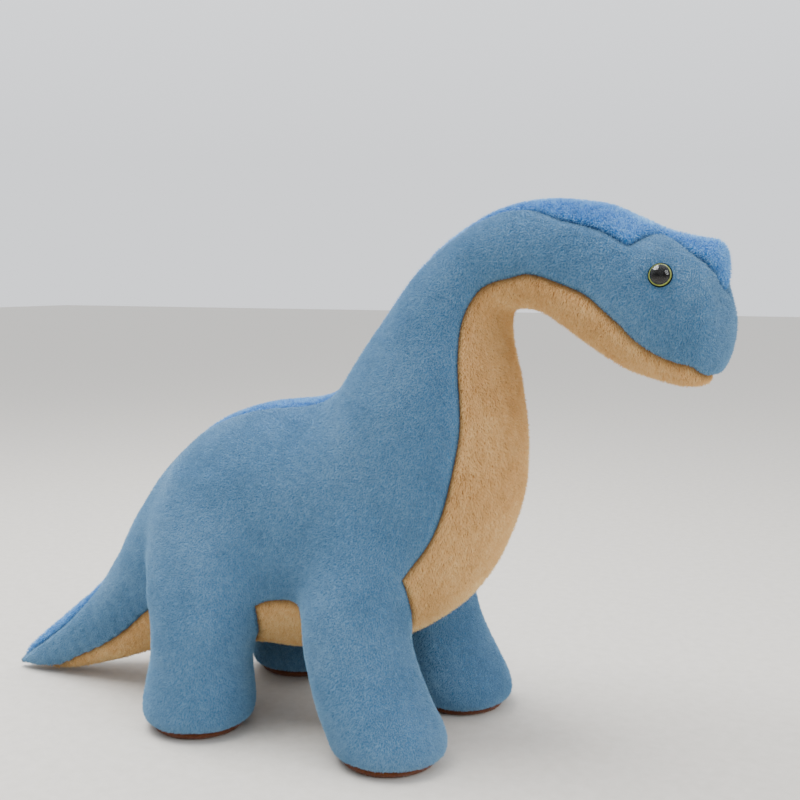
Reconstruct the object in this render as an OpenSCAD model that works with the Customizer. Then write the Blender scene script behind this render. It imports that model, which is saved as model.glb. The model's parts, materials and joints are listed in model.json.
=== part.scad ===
// A long-necked plush dinosaur with stuffed body, neck, head, tail and legs.
// The frame has +X towards the head, +Y to the toy's left and +Z up.
// The toy stands on its four sole pads at Z = 0, centred under its own box.

/* [Size] */
// Length from the tail tip to the snout
toy_length = 1000; // [950:10:1050]
// Thickness of the plush with its pile
plush_t = 3; // [2.5:0.5:4]
// Sideways bend of the tail tip
tail_bend = 75; // [0:5:80]

/* [Feet] */
// Radius of the flat face under each sole pad
sole_flat_r = 50; // [44:1:52]
// Widest radius of each sole pad
sole_r = 57; // [54:1:59]
// Height of each sole pad
sole_h = 10; // [8:0.5:12]
// Distance from the middle to the front feet
front_track = 103; // [100:1:108]
// Distance from the middle to the hind feet
hind_track = 122; // [118:1:126]

/* [Eyes] */
// Diameter of the eye
eye_d = 26; // [22:1:28]
// Height of the clear dome
eye_dome_h = 9; // [7:0.5:10]
// Diameter of the stem behind the eye
stem_d = 5; // [4:0.5:6]
// Length of the stem
stem_l = 20; // [18:1:24]
// Diameter of the locking washer
washer_d = 22; // [18:1:24]
// Thickness of the locking washer
washer_t = 2; // [1.5:0.5:3]

/* [Joints] */
// Space between the two sides of each flexing joint
joint_gap = 2.4; // [2.2:0.1:3]
// Radius of the neck joint
neck_joint_r = 160; // [158:1:164]
// Radius of the head joint
head_joint_r = 78; // [76:1:82]
// Radius of the tail joint
tail_joint_r = 142; // [140:1:146]
// Radius of the front leg joints
front_joint_r = 128; // [126:1:132]
// Radius of the hind leg joints
hind_joint_r = 138; // [136:1:142]

/* [Hidden] */

size_k = toy_length / 1000;
right = -1;
left = 1;

// Colours of the plush, the soles and the eyes
c_side = "#5b8fc4";
c_back = "#3f6fb5";
c_belly = "#c79f78";
c_sole = "#6b3a1e";
c_fill = "#f2f0ea";
c_black = "#111111";
c_iris = "#9fae3a";
c_clear = "#dfe8ee";
c_washer = "#e8e8e4";

// Ribs of the body, from the tail tip to the snout, on a toy 1000 long.
// Each row: upper end x and z, lower end x and z, half width,
// half width of the tan panel below, half width of the strip above.
RIBS = [
    [-498,  14, -500,   4,   5,   3,   3],
    [-480,  34, -472,   3,  17,   6,  14],
    [-446,  66, -432,   4,  32,  15,  27],
    [-404, 102, -385,  12,  46,  36,  36],
    [-362, 143, -335,  28,  60,  51,  38],
    [-322, 200, -285,  47,  76,  67,  32],
    [-285, 262, -235,  66,  93,  85,  28],
    [-240, 322, -190,  78, 108,  98,  30],
    [-175, 374, -140,  85, 120, 104,  34],
    [-100, 404,  -85,  88, 125, 110,  36],
    [ -30, 415,  -20,  92, 124, 110,  36],
    [   8, 424,   70, 108, 121, 105,  35],
    [  28, 441,  152, 148, 117,  97,  33],
    [  40, 460,  212, 208, 112,  93,  32],
    [  54, 482,  249, 288, 104,  89,  31],
    [  74, 510,  257, 363,  94,  82,  30],
    [ 100, 545,  249, 440,  82,  75,  29],
    [ 135, 586,  236, 498,  72,  66,  29],
    [ 178, 623,  238, 528,  66,  59,  30],
    [ 228, 648,  256, 536,  64,  58,  33],
    [ 278, 657,  285, 532,  64,  61,  34],
    [ 325, 655,  318, 512,  66,  63,  46],
    [ 365, 648,  355, 488,  69,  64,  50],
    [ 400, 632,  392, 470,  71,  59,  46],
    [ 436, 617,  428, 459,  68,  51,  20],
    [ 465, 606,  458, 455,  61,  43,  33],
    [ 484, 596,  480, 461,  49,  27,  32],
    [ 490, 567,  493, 478,  33,  23,  28],
    [ 499, 534,  500, 505,  14,   9,  11]
];
// Ribs between which each moving part is cut out
neck_rib = 14;
head_rib = 21;
tail_rib = 7;
chin_rib = 26;
crest_rib = 23;
crest_end = 27;
end_rib = len(RIBS) - 1;
sides = 22;
roundness = 2.2;

// Rings of the legs, from the foot up, on a toy 1000 long.
// Each row: height above the sole pad, x of the middle, distance of the middle
// beyond the track, radius along X, radius along Y.
FRONT_LEG = [
    [  0,  134,   0, 62, 61],
    [  4,  133,   0, 68, 66],
    [ 13,  132,   0, 71, 69],
    [ 30,  127,   0, 72, 70],
    [ 52,  116,   0, 71, 68],
    [ 80,  103,  -1, 69, 65],
    [115,   91,  -3, 67, 62],
    [160,   84,  -8, 66, 60],
    [210,   87, -18, 60, 56],
    [260,   88, -30, 50, 46],
    [300,   90, -42, 36, 32]
];
HIND_LEG = [
    [  0, -133,   0, 62, 61],
    [  4, -133,   0, 69, 66],
    [ 13, -133,   0, 72, 70],
    [ 30, -132,   0, 72, 70],
    [ 52, -130,   0, 69, 67],
    [ 80, -128,  -2, 65, 64],
    [115, -126,  -5, 68, 63],
    [160, -130, -12, 77, 62],
    [210, -132, -24, 82, 58],
    [260, -134, -39, 76, 50],
    [300, -136, -52, 58, 38]
];
leg_top = 150;
knee = 60;
leg_room = 1.5;
leg_seam = 105;
seam_room = 0.2;
leg_sides = 18;
ball_sides = 32;

// Middles of the joints
neck_pivot = [138, 0, 372] * size_k;
head_pivot = [318, 0, 584] * size_k;
tail_pivot = [-222, 0, 204] * size_k;
front_hip = [108, 96, 218] * size_k;
hind_hip = [-131, 112, 218] * size_k;

// Eyes
eye_x = 434 * size_k;
eye_y = 62.5 * size_k;
eye_tilt = 10;
eye_turn = 7;
eye_z = 573 * size_k;
eye_base_h = 2.7;
eye_clear = 0.3;
iris_t = 0.5;
iris_r = 11;
pupil_r = 9.2;
washer_deep = 5.5;
far = 1500;
mask_over = 7;
mask_step = 0.7;
crest_rise = 4;

// ---- curves ----
function power(v, e) = sign(v) * pow(abs(v), e);
function tail_y(x) = x < -220 ? -tail_bend * pow((-220 - x) / 280, 1.6) : 0;

ALL_RIBS = RIBS * size_k;
function rib_mid(r) = [(r[0] + r[2]) / 2, tail_y((r[0] + r[2]) / 2 / size_k), (r[1] + r[3]) / 2];
function rib_half(r) = norm([r[0] - r[2], r[1] - r[3]]) / 2;
function rib_up(r) = [r[0] - r[2], 0, r[1] - r[3]] / (2 * rib_half(r));

// ---- lofts ----
module loft(rings) {
    n = len(rings[0]);
    last = len(rings) - 1;
    points = [for (ring = rings) for (p = ring) p];
    walls = [
        for (i = [0 : last - 1]) for (j = [0 : n - 1]) each [
            [i * n + j, i * n + (j + 1) % n, (i + 1) * n + (j + 1) % n],
            [i * n + j, (i + 1) * n + (j + 1) % n, (i + 1) * n + j]
        ]
    ];
    start_cap = [for (j = [0 : n - 1]) n - 1 - j];
    end_cap = [for (j = [0 : n - 1]) last * n + j];
    polyhedron(points, concat([start_cap, end_cap], walls), convexity = 8);
}

// One ring of the body, drawn in by inset
function body_ring(r, inset) =
    let (h = rib_half(r) - inset, w = r[4] - inset)
    [for (j = [0 : sides - 1])
        let (a = 360 * j / sides)
        rib_mid(r) + rib_up(r) * h * power(cos(a), 2 / roundness)
            + [0, w * power(sin(a), 2 / roundness), 0]];

module spine(inset) {
    thin = inset + 1.5;
    rows = [for (r = ALL_RIBS) if (rib_half(r) > thin && r[4] > thin) r];
    loft([for (r = rows) body_ring(r, inset)]);
}

// A bar along the ribs from one to another, between two places across the toy
// and two places up each rib
module bar(first, last, y_from, y_to, low, high) {
    loft([for (i = [first : last])
        let (r = ALL_RIBS[i], up = rib_up(r), end = rib_half(r) + mask_over)
        let (m = rib_mid(r) + [i == 0 ? -mask_over : i == end_rib ? mask_over : mask_step, 0, 0])
        [
            m + [0, y_from(r), 0] + up * end * low,
            m + [0, y_from(r), 0] + up * end * high,
            m + [0, y_to(r), 0] + up * end * high,
            m + [0, y_to(r), 0] + up * end * low
        ]]);
}

// The tan panel's place, the upper strip's place, and all that lies between two ribs
module below() {
    bar(0, chin_rib, function(r) -r[5], function(r) r[5], -1.25, 0);
}
module above(first, last) {
    bar(first, last, function(r) -r[6], function(r) r[6], 0, 1);
}
module stretch(first, last) {
    bar(first, last, function(r) -r[4] - mask_over, function(r) r[4] + mask_over, -1, 1);
}
module tail_half(side) {
    bar(0, tail_rib, function(r) side == right ? -far : 0, function(r) side == right ? 0 : far,
        -1, 1);
}
module half(side) {
    translate([-far, side == right ? -far : 0, -far]) cube([2 * far, far, 2 * far]);
}

// ---- legs ----
module leg(rows, track, side, grow) {
    mirror([0, side == right ? 1 : 0, 0])
        loft([for (r = rows)
            [for (j = [0 : leg_sides - 1])
                let (a = 360 * j / leg_sides)
                [
                    r[1] * size_k + (r[3] * size_k + grow) * cos(a),
                    track + r[2] * size_k - (r[4] * size_k + grow) * sin(a),
                    sole_h + r[0] * size_k
                ]]]);
}
module front_leg(side, grow) { leg(FRONT_LEG, front_track, side, grow); }
module hind_leg(side, grow) { leg(HIND_LEG, hind_track, side, grow); }
module all_legs(grow) {
    for (side = [right, left]) {
        front_leg(side, grow);
        hind_leg(side, grow);
    }
}
module ball(middle, r) { translate(middle) sphere(r, $fn = ball_sides); }
module below_leg_top() {
    translate([-far, -far, -far]) cube([2 * far, 2 * far, far + leg_top * size_k]);
}
module lower_front_leg(side, grow, clear) {
    difference() {
        intersection() {
            front_leg(side, grow);
            below_leg_top();
        }
        ball([front_hip.x, side * front_hip.y, front_hip.z], front_joint_r + clear);
    }
}
module lower_hind_leg(side, grow, clear) {
    difference() {
        intersection() {
            hind_leg(side, grow);
            below_leg_top();
        }
        ball([hind_hip.x, side * hind_hip.y, hind_hip.z], hind_joint_r + clear);
    }
}

// ---- the places of the moving parts ----
module head_place(clear) {
    difference() {
        stretch(head_rib, end_rib);
        ball(head_pivot, head_joint_r + clear);
    }
}
module neck_place(clear) {
    difference() {
        stretch(neck_rib, end_rib);
        ball(neck_pivot, neck_joint_r + clear);
    }
}
module tail_place(clear) {
    difference() {
        stretch(0, tail_rib);
        ball(tail_pivot, tail_joint_r + clear);
    }
}
// The stuffed torso with its thighs, drawn in by inset
module torso(inset) {
    difference() {
        union() {
            spine(inset);
            all_legs(-inset);
        }
        neck_place(-joint_gap / 2);
        tail_place(-joint_gap / 2);
        for (side = [right, left]) {
            lower_front_leg(side, leg_room, -joint_gap / 2);
            lower_hind_leg(side, leg_room, -joint_gap / 2);
        }
        translate([-far, -far, -far]) cube([2 * far, 2 * far, far + knee * size_k]);
    }
}
module torso_skin() {
    difference() {
        torso(0);
        union() {
            spine(plush_t);
            all_legs(-plush_t);
        }
    }
}
module neck(inset) {
    difference() {
        intersection() {
            spine(inset);
            neck_place(joint_gap / 2);
        }
        head_place(-joint_gap / 2);
    }
}
module neck_skin() {
    difference() {
        neck(0);
        spine(plush_t);
    }
}
module head(inset) {
    intersection() {
        spine(inset);
        head_place(joint_gap / 2);
    }
}
module head_skin() {
    difference() {
        head(0);
        spine(plush_t);
    }
}
module tail(inset) {
    intersection() {
        spine(inset);
        tail_place(joint_gap / 2);
    }
}
module tail_skin() {
    difference() {
        tail(0);
        spine(plush_t);
    }
}

// Each soft piece is one smooth mesh
module soft(colour) {
    color(colour) resize([0, 0, 0]) children();
}

// ---- torso ----
module side_panel(side) {
    soft(c_side) difference() {
        intersection() {
            torso_skin();
            half(side);
        }
        above(0, crest_end);
        below();
    }
}
module back_strip() {
    soft(c_back) intersection() {
        torso_skin();
        above(0, crest_end);
    }
}
module belly_panel() {
    soft(c_belly) difference() {
        intersection() {
            torso_skin();
            below();
        }
        all_legs(seam_room);
    }
}
module inner_thigh(side) {
    soft(c_side) intersection() {
        torso_skin();
        below();
        children();
        half(side);
    }
}
module inner_thigh_front(side) { inner_thigh(side) front_leg(side, seam_room); }
module inner_thigh_hind(side) { inner_thigh(side) hind_leg(side, seam_room); }
module torso_filling() { soft(c_fill) torso(plush_t); }

// ---- neck ----
module neck_side(side) {
    soft(c_side) difference() {
        intersection() {
            neck_skin();
            half(side);
        }
        above(0, crest_end);
        below();
    }
}
module neck_back_strip() {
    soft(c_back) intersection() {
        neck_skin();
        above(0, crest_end);
    }
}
module throat_panel() {
    soft(c_belly) intersection() {
        neck_skin();
        below();
    }
}
module neck_filling() { soft(c_fill) neck(plush_t); }

// ---- head ----
module at_eye(side) {
    mirror([0, side == left ? 1 : 0, 0])
        translate([eye_x, -eye_y, eye_z]) rotate([90 - eye_tilt, 0, eye_turn]) children();
}
// The room that one eye takes in the plush and the filling
module eye_room(side) {
    at_eye(side) {
        cylinder(r = eye_d / 2 + eye_clear, h = eye_dome_h + eye_base_h, $fn = 32);
        translate([0, 0, -stem_l - eye_clear])
            cylinder(r = stem_d / 2 + eye_clear, h = stem_l + 1, $fn = 16);
        translate([0, 0, -washer_deep - eye_clear])
            cylinder(r = washer_d / 2 + eye_clear, h = washer_t + 2 * eye_clear, $fn = 24);
    }
}
module head_side(side) {
    soft(c_side) difference() {
        intersection() {
            head_skin();
            half(side);
        }
        above(0, crest_end);
        below();
        eye_room(side);
    }
}
module crest() {
    soft(c_back) difference() {
        intersection() {
            union() {
                spine(0);
                intersection() {
                    spine(-crest_rise * size_k);
                    above(crest_rib, crest_end);
                }
            }
            head_place(joint_gap / 2);
            above(0, crest_end);
        }
        spine(plush_t);
    }
}
module chin_panel() {
    soft(c_belly) intersection() {
        head_skin();
        below();
    }
}
module head_filling() {
    soft(c_fill) difference() {
        head(plush_t);
        eye_room(right);
        eye_room(left);
    }
}

// ---- eyes ----
module eye_back(side) {
    color(c_black) at_eye(side) {
        difference() {
            cylinder(r = eye_d / 2, h = eye_base_h, $fn = 48);
            translate([0, 0, eye_base_h - iris_t]) difference() {
                cylinder(r = iris_r, h = 1, $fn = 48);
                cylinder(r = pupil_r, h = 1, $fn = 48);
            }
        }
        translate([0, 0, -stem_l]) cylinder(r = stem_d / 2, h = stem_l, $fn = 24);
    }
}
module eye_iris(side) {
    color(c_iris) at_eye(side) translate([0, 0, eye_base_h - iris_t]) difference() {
        cylinder(r = iris_r, h = iris_t, $fn = 48);
        translate([0, 0, -1]) cylinder(r = pupil_r, h = iris_t + 2, $fn = 48);
    }
}
module eye_lens(side) {
    cap_r = (pow(eye_d / 2, 2) + pow(eye_dome_h, 2)) / (2 * eye_dome_h);
    color(c_clear, 0.4) at_eye(side) translate([0, 0, eye_base_h]) intersection() {
        translate([0, 0, eye_dome_h - cap_r]) sphere(cap_r, $fn = 64);
        cylinder(r = eye_d / 2, h = eye_dome_h + 1, $fn = 48);
    }
}
module eye_washer(side) {
    color(c_washer) at_eye(side) translate([0, 0, -washer_deep]) difference() {
        cylinder(r = washer_d / 2, h = washer_t, $fn = 48);
        translate([0, 0, -1]) cylinder(r = stem_d / 2, h = washer_t + 2, $fn = 24);
    }
}

// ---- tail ----
module tail_side(side) {
    soft(c_side) difference() {
        intersection() {
            tail_skin();
            tail_half(side);
        }
        above(0, crest_end);
        below();
    }
}
module tail_back_strip() {
    soft(c_back) intersection() {
        tail_skin();
        above(0, crest_end);
    }
}
module tail_underside() {
    soft(c_belly) intersection() {
        tail_skin();
        below();
    }
}
module tail_filling() { soft(c_fill) tail(plush_t); }

// ---- lower legs ----
// The inner panel lies on the middle's side of the seam
module inside_seam(side) {
    seam = leg_seam * size_k;
    translate([-far, side == right ? -seam : seam - far, -far]) cube([2 * far, far, 2 * far]);
}
module leg_outer_front(side) {
    soft(c_side) difference() {
        lower_front_leg(side, 0, joint_gap / 2);
        front_leg(side, -plush_t);
        inside_seam(side);
    }
}
module leg_inner_front(side) {
    soft(c_side) intersection() {
        difference() {
            lower_front_leg(side, 0, joint_gap / 2);
            front_leg(side, -plush_t);
        }
        inside_seam(side);
    }
}
module leg_filling_front(side) { soft(c_fill) lower_front_leg(side, -plush_t, joint_gap / 2); }
module leg_outer_hind(side) {
    soft(c_side) difference() {
        lower_hind_leg(side, 0, joint_gap / 2);
        hind_leg(side, -plush_t);
        inside_seam(side);
    }
}
module leg_inner_hind(side) {
    soft(c_side) intersection() {
        difference() {
            lower_hind_leg(side, 0, joint_gap / 2);
            hind_leg(side, -plush_t);
        }
        inside_seam(side);
    }
}
module leg_filling_hind(side) { soft(c_fill) lower_hind_leg(side, -plush_t, joint_gap / 2); }
module sole(row, track, side) {
    color(c_sole) translate([row[1] * size_k, side * track, 0]) rotate_extrude($fn = 64) polygon([
        [0, 0], [sole_flat_r, 0], [sole_r - 1, sole_h * 0.35], [sole_r, sole_h * 0.7],
        [sole_r, sole_h], [0, sole_h]
    ]);
}
module sole_front(side) { sole(FRONT_LEG[0], front_track, side); }
module sole_hind(side) { sole(HIND_LEG[0], hind_track, side); }

side_panel(right);  // side_panel_right
side_panel(left);  // side_panel_left
back_strip();
belly_panel();
torso_filling();
inner_thigh_front(right);  // inner_thigh_front_right
inner_thigh_front(left);  // inner_thigh_front_left
inner_thigh_hind(right);  // inner_thigh_hind_right
inner_thigh_hind(left);  // inner_thigh_hind_left
neck_side(right);  // neck_side_right
neck_side(left);  // neck_side_left
neck_back_strip();
throat_panel();
neck_filling();
head_side(right);  // head_side_right
head_side(left);  // head_side_left
crest();
chin_panel();
head_filling();
eye_back(right);  // eye_back_right
eye_iris(right);  // eye_iris_right
eye_lens(right);  // eye_lens_right
eye_washer(right);  // eye_washer_right
eye_back(left);  // eye_back_left
eye_iris(left);  // eye_iris_left
eye_lens(left);  // eye_lens_left
eye_washer(left);  // eye_washer_left
tail_side(right);  // tail_side_right
tail_side(left);  // tail_side_left
tail_back_strip();
tail_underside();
tail_filling();
leg_outer_front(right);  // leg_outer_front_right
leg_inner_front(right);  // leg_inner_front_right
leg_filling_front(right);  // leg_filling_front_right
sole_front(right);  // sole_front_right
leg_outer_front(left);  // leg_outer_front_left
leg_inner_front(left);  // leg_inner_front_left
leg_filling_front(left);  // leg_filling_front_left
sole_front(left);  // sole_front_left
leg_outer_hind(right);  // leg_outer_hind_right
leg_inner_hind(right);  // leg_inner_hind_right
leg_filling_hind(right);  // leg_filling_hind_right
sole_hind(right);  // sole_hind_right
leg_outer_hind(left);  // leg_outer_hind_left
leg_inner_hind(left);  // leg_inner_hind_left
leg_filling_hind(left);  // leg_filling_hind_left
sole_hind(left);  // sole_hind_left
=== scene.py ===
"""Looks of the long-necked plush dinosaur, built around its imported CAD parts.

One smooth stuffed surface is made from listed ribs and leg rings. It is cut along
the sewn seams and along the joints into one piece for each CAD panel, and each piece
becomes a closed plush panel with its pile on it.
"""
import bpy
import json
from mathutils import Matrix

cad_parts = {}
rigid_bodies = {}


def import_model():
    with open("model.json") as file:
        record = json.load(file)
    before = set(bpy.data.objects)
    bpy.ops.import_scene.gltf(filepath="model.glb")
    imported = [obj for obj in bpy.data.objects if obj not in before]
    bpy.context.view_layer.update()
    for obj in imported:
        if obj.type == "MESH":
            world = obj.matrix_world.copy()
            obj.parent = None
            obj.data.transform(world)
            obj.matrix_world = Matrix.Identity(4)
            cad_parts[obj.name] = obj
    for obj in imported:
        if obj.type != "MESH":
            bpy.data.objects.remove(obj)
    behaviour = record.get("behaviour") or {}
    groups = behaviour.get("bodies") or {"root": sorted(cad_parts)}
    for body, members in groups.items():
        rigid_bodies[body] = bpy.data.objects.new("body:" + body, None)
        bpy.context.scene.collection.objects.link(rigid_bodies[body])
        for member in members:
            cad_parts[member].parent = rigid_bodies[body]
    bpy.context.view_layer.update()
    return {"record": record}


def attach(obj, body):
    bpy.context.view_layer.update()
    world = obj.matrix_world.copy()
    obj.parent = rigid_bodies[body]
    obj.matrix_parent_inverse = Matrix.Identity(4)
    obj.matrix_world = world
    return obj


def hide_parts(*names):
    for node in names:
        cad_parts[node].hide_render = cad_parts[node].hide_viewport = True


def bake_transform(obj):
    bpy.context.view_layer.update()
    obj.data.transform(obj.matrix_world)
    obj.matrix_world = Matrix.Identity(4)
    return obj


for old in list(bpy.data.objects):
    bpy.data.objects.remove(old)
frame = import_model()

import json
import math

import numpy as np
import openvdb
from mathutils import Matrix, Vector, noise
from mathutils.bvhtree import BVHTree
from mathutils.kdtree import KDTree

MM = 0.001
VOXEL = 0.0042
PANEL_T = 0.0025      # a plush panel's thickness under its pile
SOLE_H = 0.010
SPINE_SIDES, LEG_SIDES = 72, 56
EYE = np.array([0.434, -0.0625, 0.573])      # where the right eye sits

# Ribs of the body, in mm: upper end x and z, lower end x and z, half width.
RIBS = [
    (-498, 14, -500, 4, 5), (-480, 34, -472, 3, 17), (-446, 66, -432, 4, 32),
    (-404, 102, -385, 12, 46), (-362, 143, -335, 28, 60), (-322, 200, -285, 47, 76),
    (-285, 262, -235, 66, 93), (-240, 322, -190, 78, 108), (-175, 374, -140, 85, 120),
    (-100, 404, -85, 88, 125), (-30, 415, -20, 92, 124), (8, 424, 70, 108, 121),
    (28, 441, 152, 148, 117), (40, 460, 212, 208, 112), (54, 482, 249, 288, 104),
    (74, 510, 257, 363, 94), (100, 545, 249, 440, 82), (135, 586, 236, 498, 72),
    (178, 623, 238, 528, 66), (228, 648, 256, 536, 64), (278, 657, 285, 532, 64),
    (325, 655, 318, 512, 66), (365, 648, 355, 488, 69), (400, 632, 392, 470, 71),
    (436, 617, 428, 459, 68), (465, 606, 458, 455, 61), (484, 596, 480, 461, 49),
    (490, 567, 493, 478, 33), (499, 534, 500, 505, 14),
]
# The seams of the tan panel and of the upper strip: rib number, half width in mm.
TAN_SEAM = [
    (0, 3), (1, 6), (2, 15), (3, 36), (4, 51), (5, 67), (6, 85), (7, 98), (8, 104), (9, 110),
    (10, 110), (11, 105), (12, 96), (13, 93), (14, 90), (15, 82), (16, 75), (17, 65), (18, 58),
    (19, 57), (20, 61), (21, 64), (22, 67), (22.8, 66), (23.3, 61), (24, 53), (25, 44),
    (25.8, 30), (26.2, 12), (28, 5),
]
STRIP_SEAM = [
    (0, 3), (1, 14), (2, 27), (3, 36), (4, 38), (5, 32), (6, 28), (7, 30), (8, 33), (9, 34),
    (10, 33), (11, 29), (12, 30), (14, 31), (16, 29), (17, 28), (18, 26), (19, 26), (20, 34),
    (20.8, 46), (21.7, 50), (22.4, 52), (22.9, 54), (23.2, 43), (23.4, 29), (23.7, 17),
    (24.1, 20), (24.8, 32), (25.7, 36), (26.6, 24), (28, 9),
]
CHIN_END, CREST_END = 26.2, 27.3
ROUNDNESS = 2.2

# Rings of the legs, in mm: height above the sole, x, distance beyond the track,
# radius along X, radius along Y.
FRONT_LEG = [
    (0, 134, 0, 62, 61), (4, 133, 0, 68, 66), (13, 132, 0, 71, 69), (30, 127, 0, 72, 70),
    (52, 116, 0, 71, 68), (80, 103, -1, 69, 65), (115, 91, -3, 67, 62),
    (160, 84, -8, 66, 60), (210, 87, -18, 60, 56), (260, 88, -30, 50, 46),
    (300, 90, -42, 36, 32),
]
HIND_LEG = [
    (0, -133, 0, 62, 61), (4, -133, 0, 69, 66), (13, -133, 0, 72, 70), (30, -132, 0, 72, 70),
    (52, -130, 0, 69, 67), (80, -128, -2, 65, 64), (115, -126, -5, 68, 63),
    (160, -130, -12, 77, 62), (210, -132, -24, 82, 58), (260, -134, -39, 76, 50),
    (300, -136, -52, 58, 38),
]
# Where the feet stand, along X and off the middle, and the seam that parts the legs' panels.
FRONT_X, HIND_X = 0.134, -0.133
FRONT_TRACK, HIND_TRACK = 0.103, 0.122
LEG_SEAM = 0.105
# The hole in the plush that each sole closes: its radius, and how high it reaches.
HOLE_R, HOLE_Z = 0.0555, 0.0125

# Where each moving part is cut from the part before it: through the first point, square to
# the line towards the second; the legs at the first height.
NECK_BEND = (Vector((0.140, 0, 0.380)), Vector((0.2105, 0, 0.512)))
HEAD_BEND = (Vector((0.285, 0, 0.592)), Vector((0.375, 0, 0.565)))
TAIL_BEND = (Vector((-0.238, 0, 0.182)), Vector((-0.365, 0, 0.155)))
LEG_BEND = (0.078, 0.012)


# ---------------------------------------------------------------- the stuffed form
def hermite(s, d, y0, y1, slope0, slope1):
    """The cubic from y0 to y1 with those slopes, a share s along a span that is d long."""
    return ((2 * s**3 - 3 * s**2 + 1) * y0 + (s**3 - 2 * s**2 + s) * d * slope0
            + (3 * s**2 - 2 * s**3) * y1 + (s**3 - s**2) * d * slope1)


def smooth_rows(rows, steps):
    """A smooth curve through listed rows, and the row number at each of its points."""
    r = np.array(rows, float)
    middle = (r[:, :2] + r[:, 2:4]) / 2 if rows is RIBS else r[:, :2]
    u = np.concatenate([[0], np.cumsum(np.linalg.norm(np.diff(middle, axis=0), axis=1) + 6)])
    slope = np.gradient(r, u, axis=0)
    out, number = [], []
    for i in range(len(r) - 1):
        for s in np.arange(steps) / steps:
            out.append(hermite(s, u[i + 1] - u[i], r[i], r[i + 1], slope[i], slope[i + 1]))
            number.append(i + s)
    out.append(r[-1])
    number.append(len(r) - 1)
    return np.array(out), np.array(number, float)


def width_at(table, t):
    """A half width in metres, without overshoot between the listed ones."""
    x, y = np.array(table, float).T
    step = np.diff(y) / np.diff(x)
    a, b = step[:-1], step[1:]
    total = np.where(a + b == 0, 1, a + b)
    slope = np.concatenate([[0], np.where(a * b > 0, 2 * a * b / total, 0), [0]])
    i = np.clip(np.searchsorted(x, t, side="right") - 1, 0, len(x) - 2)
    d = x[i + 1] - x[i]
    s = np.clip((t - x[i]) / d, 0, 1)
    return MM * hermite(s, d, y[i], y[i + 1], slope[i], slope[i + 1])


def tail_side(x):
    """Y of the body's middle, which leaves the centre plane only along the tail."""
    return np.where(x < -0.22, -0.075 * np.clip((-0.22 - x) / 0.28, 0, None) ** 1.6, 0.0)


SPINE, SPINE_T = smooth_rows(RIBS, 5)
SPINE = SPINE * MM
MID = np.stack([(SPINE[:, 0] + SPINE[:, 2]) / 2, tail_side((SPINE[:, 0] + SPINE[:, 2]) / 2),
                (SPINE[:, 1] + SPINE[:, 3]) / 2], 1)
UP = np.stack([SPINE[:, 0] - SPINE[:, 2], 0 * SPINE[:, 0], SPINE[:, 1] - SPINE[:, 3]], 1)
HALF = np.linalg.norm(UP, axis=1) / 2
UP /= 2 * HALF[:, None]
ONWARD = np.stack([UP[:, 2], 0 * HALF, -UP[:, 0]], 1)


def tube(rings):
    """Points, quads and end triangles of a closed form through rings of points."""
    count, n = rings.shape[:2]
    points = np.concatenate([rings.reshape(-1, 3), rings[:1].mean(1), rings[-1:].mean(1)])
    i, j = np.meshgrid(np.arange(count - 1), np.arange(n), indexing="ij")
    i, j = i.ravel(), j.ravel()
    k = (j + 1) % n
    quads = np.stack([i * n + j, i * n + k, (i + 1) * n + k, (i + 1) * n + j], 1)
    j = np.arange(n)
    k = (j + 1) % n
    first, last = count * n, count * n + 1
    ends = np.concatenate([np.stack([0 * j + first, k, j], 1),
                           np.stack([0 * j + last, (count - 1) * n + j, (count - 1) * n + k], 1)])
    return points, quads, ends


def power(v, e):
    """A power that keeps its base's sign."""
    return np.sign(v) * np.abs(v) ** e


def spine_tube():
    """The body through its ribs, each a rounded oblong."""
    a = np.linspace(0, 2 * np.pi, SPINE_SIDES, endpoint=False)
    c, s = power(np.cos(a), 2 / ROUNDNESS), power(np.sin(a), 2 / ROUNDNESS)
    rings = MID[:, None] + UP[:, None] * (HALF[:, None] * c)[..., None]
    rings[..., 1] += SPINE[:, 4:5] * s
    return tube(rings)


def leg_tube(rows, track, side):
    """A leg through its rings, on the side that has that sign."""
    r, _ = smooth_rows(rows, 4)
    r = r * MM
    a = np.linspace(0, 2 * np.pi, LEG_SIDES, endpoint=False)
    rings = np.stack([
        r[:, 1:2] + r[:, 3:4] * np.cos(a),
        side * (track + r[:, 2:3] + r[:, 4:5] * np.sin(a)),
        SOLE_H + r[:, 0:1] + 0 * a[None],
    ], 2)
    return tube(rings)


GRID_LOW, GRID_HIGH = np.array([-0.545, -0.225, -0.025]), np.array([0.545, 0.225, 0.69])
GRID_N = np.ceil((GRID_HIGH - GRID_LOW) / VOXEL).astype(int)
BAND = 14             # voxels around a surface in which distances are known
LEG_BLEND = 0.030     # how widely a leg's surface runs into the body's


def distance_to(shape):
    """Signed distance to a closed form on the grid, cut off some voxels away."""
    points, quads, ends = shape
    grid = openvdb.FloatGrid.createLevelSetFromPolygons(
        ((points - GRID_LOW) / VOXEL).astype(np.float32), triangles=ends.astype(np.uint32),
        quads=quads.astype(np.uint32), transform=openvdb.createLinearTransform(1.0),
        halfWidth=BAND)
    out = np.zeros(tuple(GRID_N), np.float32)
    grid.copyToArray(out)
    return out * VOXEL


def soft_min(a, b, k):
    """The lesser of two distances, rounded where they meet."""
    h = np.clip(k - np.abs(a - b), 0, None) / k
    return np.minimum(a, b) - h * h * k / 4


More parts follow.
